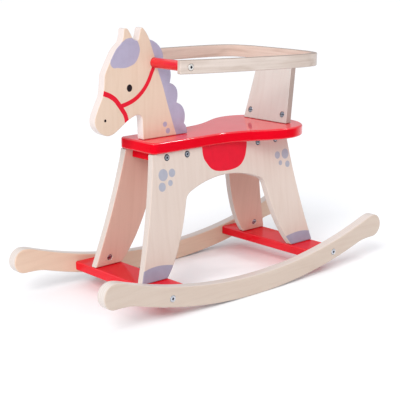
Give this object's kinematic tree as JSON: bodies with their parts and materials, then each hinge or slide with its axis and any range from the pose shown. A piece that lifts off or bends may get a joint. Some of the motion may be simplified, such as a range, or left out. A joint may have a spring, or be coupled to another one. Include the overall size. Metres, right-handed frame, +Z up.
{
  "type": "rocking horse",
  "caption": "Wooden toddler rocking horse: curved rockers, splayed side panels, red seat, cut-out horse head with a handle bar, bent arm rail and a leaning back panel.",
  "frame": {"origin": "on the floor under the middle of the horse: the centre of the base of its bounding box", "axes": "+X to the nose, along the rockers; +Y to the horse's left; +Z up"},
  "size_m": [0.621, 0.2502, 0.426],
  "materials": {
    "beech": "clear matt lacquer over pale plywood, with lilac and red paint on some faces",
    "bent_beech": "clear satin lacquer, grain along the strip",
    "red_paint": "gloss red lacquer over wood",
    "steel": "zinc-plated",
    "pin_wood": "bare fluted hardwood"
  },
  "bodies": {
    "root": {"arm_bolt_left": "steel", "arm_bolt_right": "steel", "arm_pin_left": "pin_wood", "arm_pin_right": "pin_wood", "arm_rail": "bent_beech", "back_bolt_left": "steel", "back_bolt_right": "steel", "back_nut_left": "steel", "back_nut_right": "steel", "back_panel": "beech", "front_foot_board": "red_paint", "front_seat_cross_rail": "red_paint", "handle_bar": "red_paint", "head": "beech", "head_bolt_front": "steel", "head_bolt_rear": "steel", "head_nut_front": "steel", "head_nut_rear": "steel", "leg_bolt_front_left": "steel", "leg_bolt_front_right": "steel", "leg_bolt_rear_left": "steel", "leg_bolt_rear_right": "steel", "leg_nut_front_left": "steel", "leg_nut_front_right": "steel", "leg_nut_rear_left": "steel", "leg_nut_rear_right": "steel", "panel_screw_front_inner_left": "steel", "panel_screw_front_inner_right": "steel", "panel_screw_front_outer_left": "steel", "panel_screw_front_outer_right": "steel", "panel_screw_rear_inner_left": "steel", "panel_screw_rear_inner_right": "steel", "panel_screw_rear_outer_left": "steel", "panel_screw_rear_outer_right": "steel", "rear_foot_board": "red_paint", "rear_seat_cross_rail": "red_paint", "rocker_bolt_front_left": "steel", "rocker_bolt_front_right": "steel", "rocker_bolt_rear_left": "steel", "rocker_bolt_rear_right": "steel", "rocker_left": "beech", "rocker_nut_front_left": "steel", "rocker_nut_front_right": "steel", "rocker_nut_rear_left": "steel", "rocker_nut_rear_right": "steel", "rocker_pin_front_left": "pin_wood", "rocker_pin_front_right": "pin_wood", "rocker_pin_rear_left": "pin_wood", "rocker_pin_rear_right": "pin_wood", "rocker_right": "beech", "seat": "red_paint", "seat_screw_front_left": "steel", "seat_screw_front_right": "steel", "seat_screw_rear_left": "steel", "seat_screw_rear_right": "steel", "side_panel_left": "beech", "side_panel_right": "beech"}
  },
  "joints": []
}
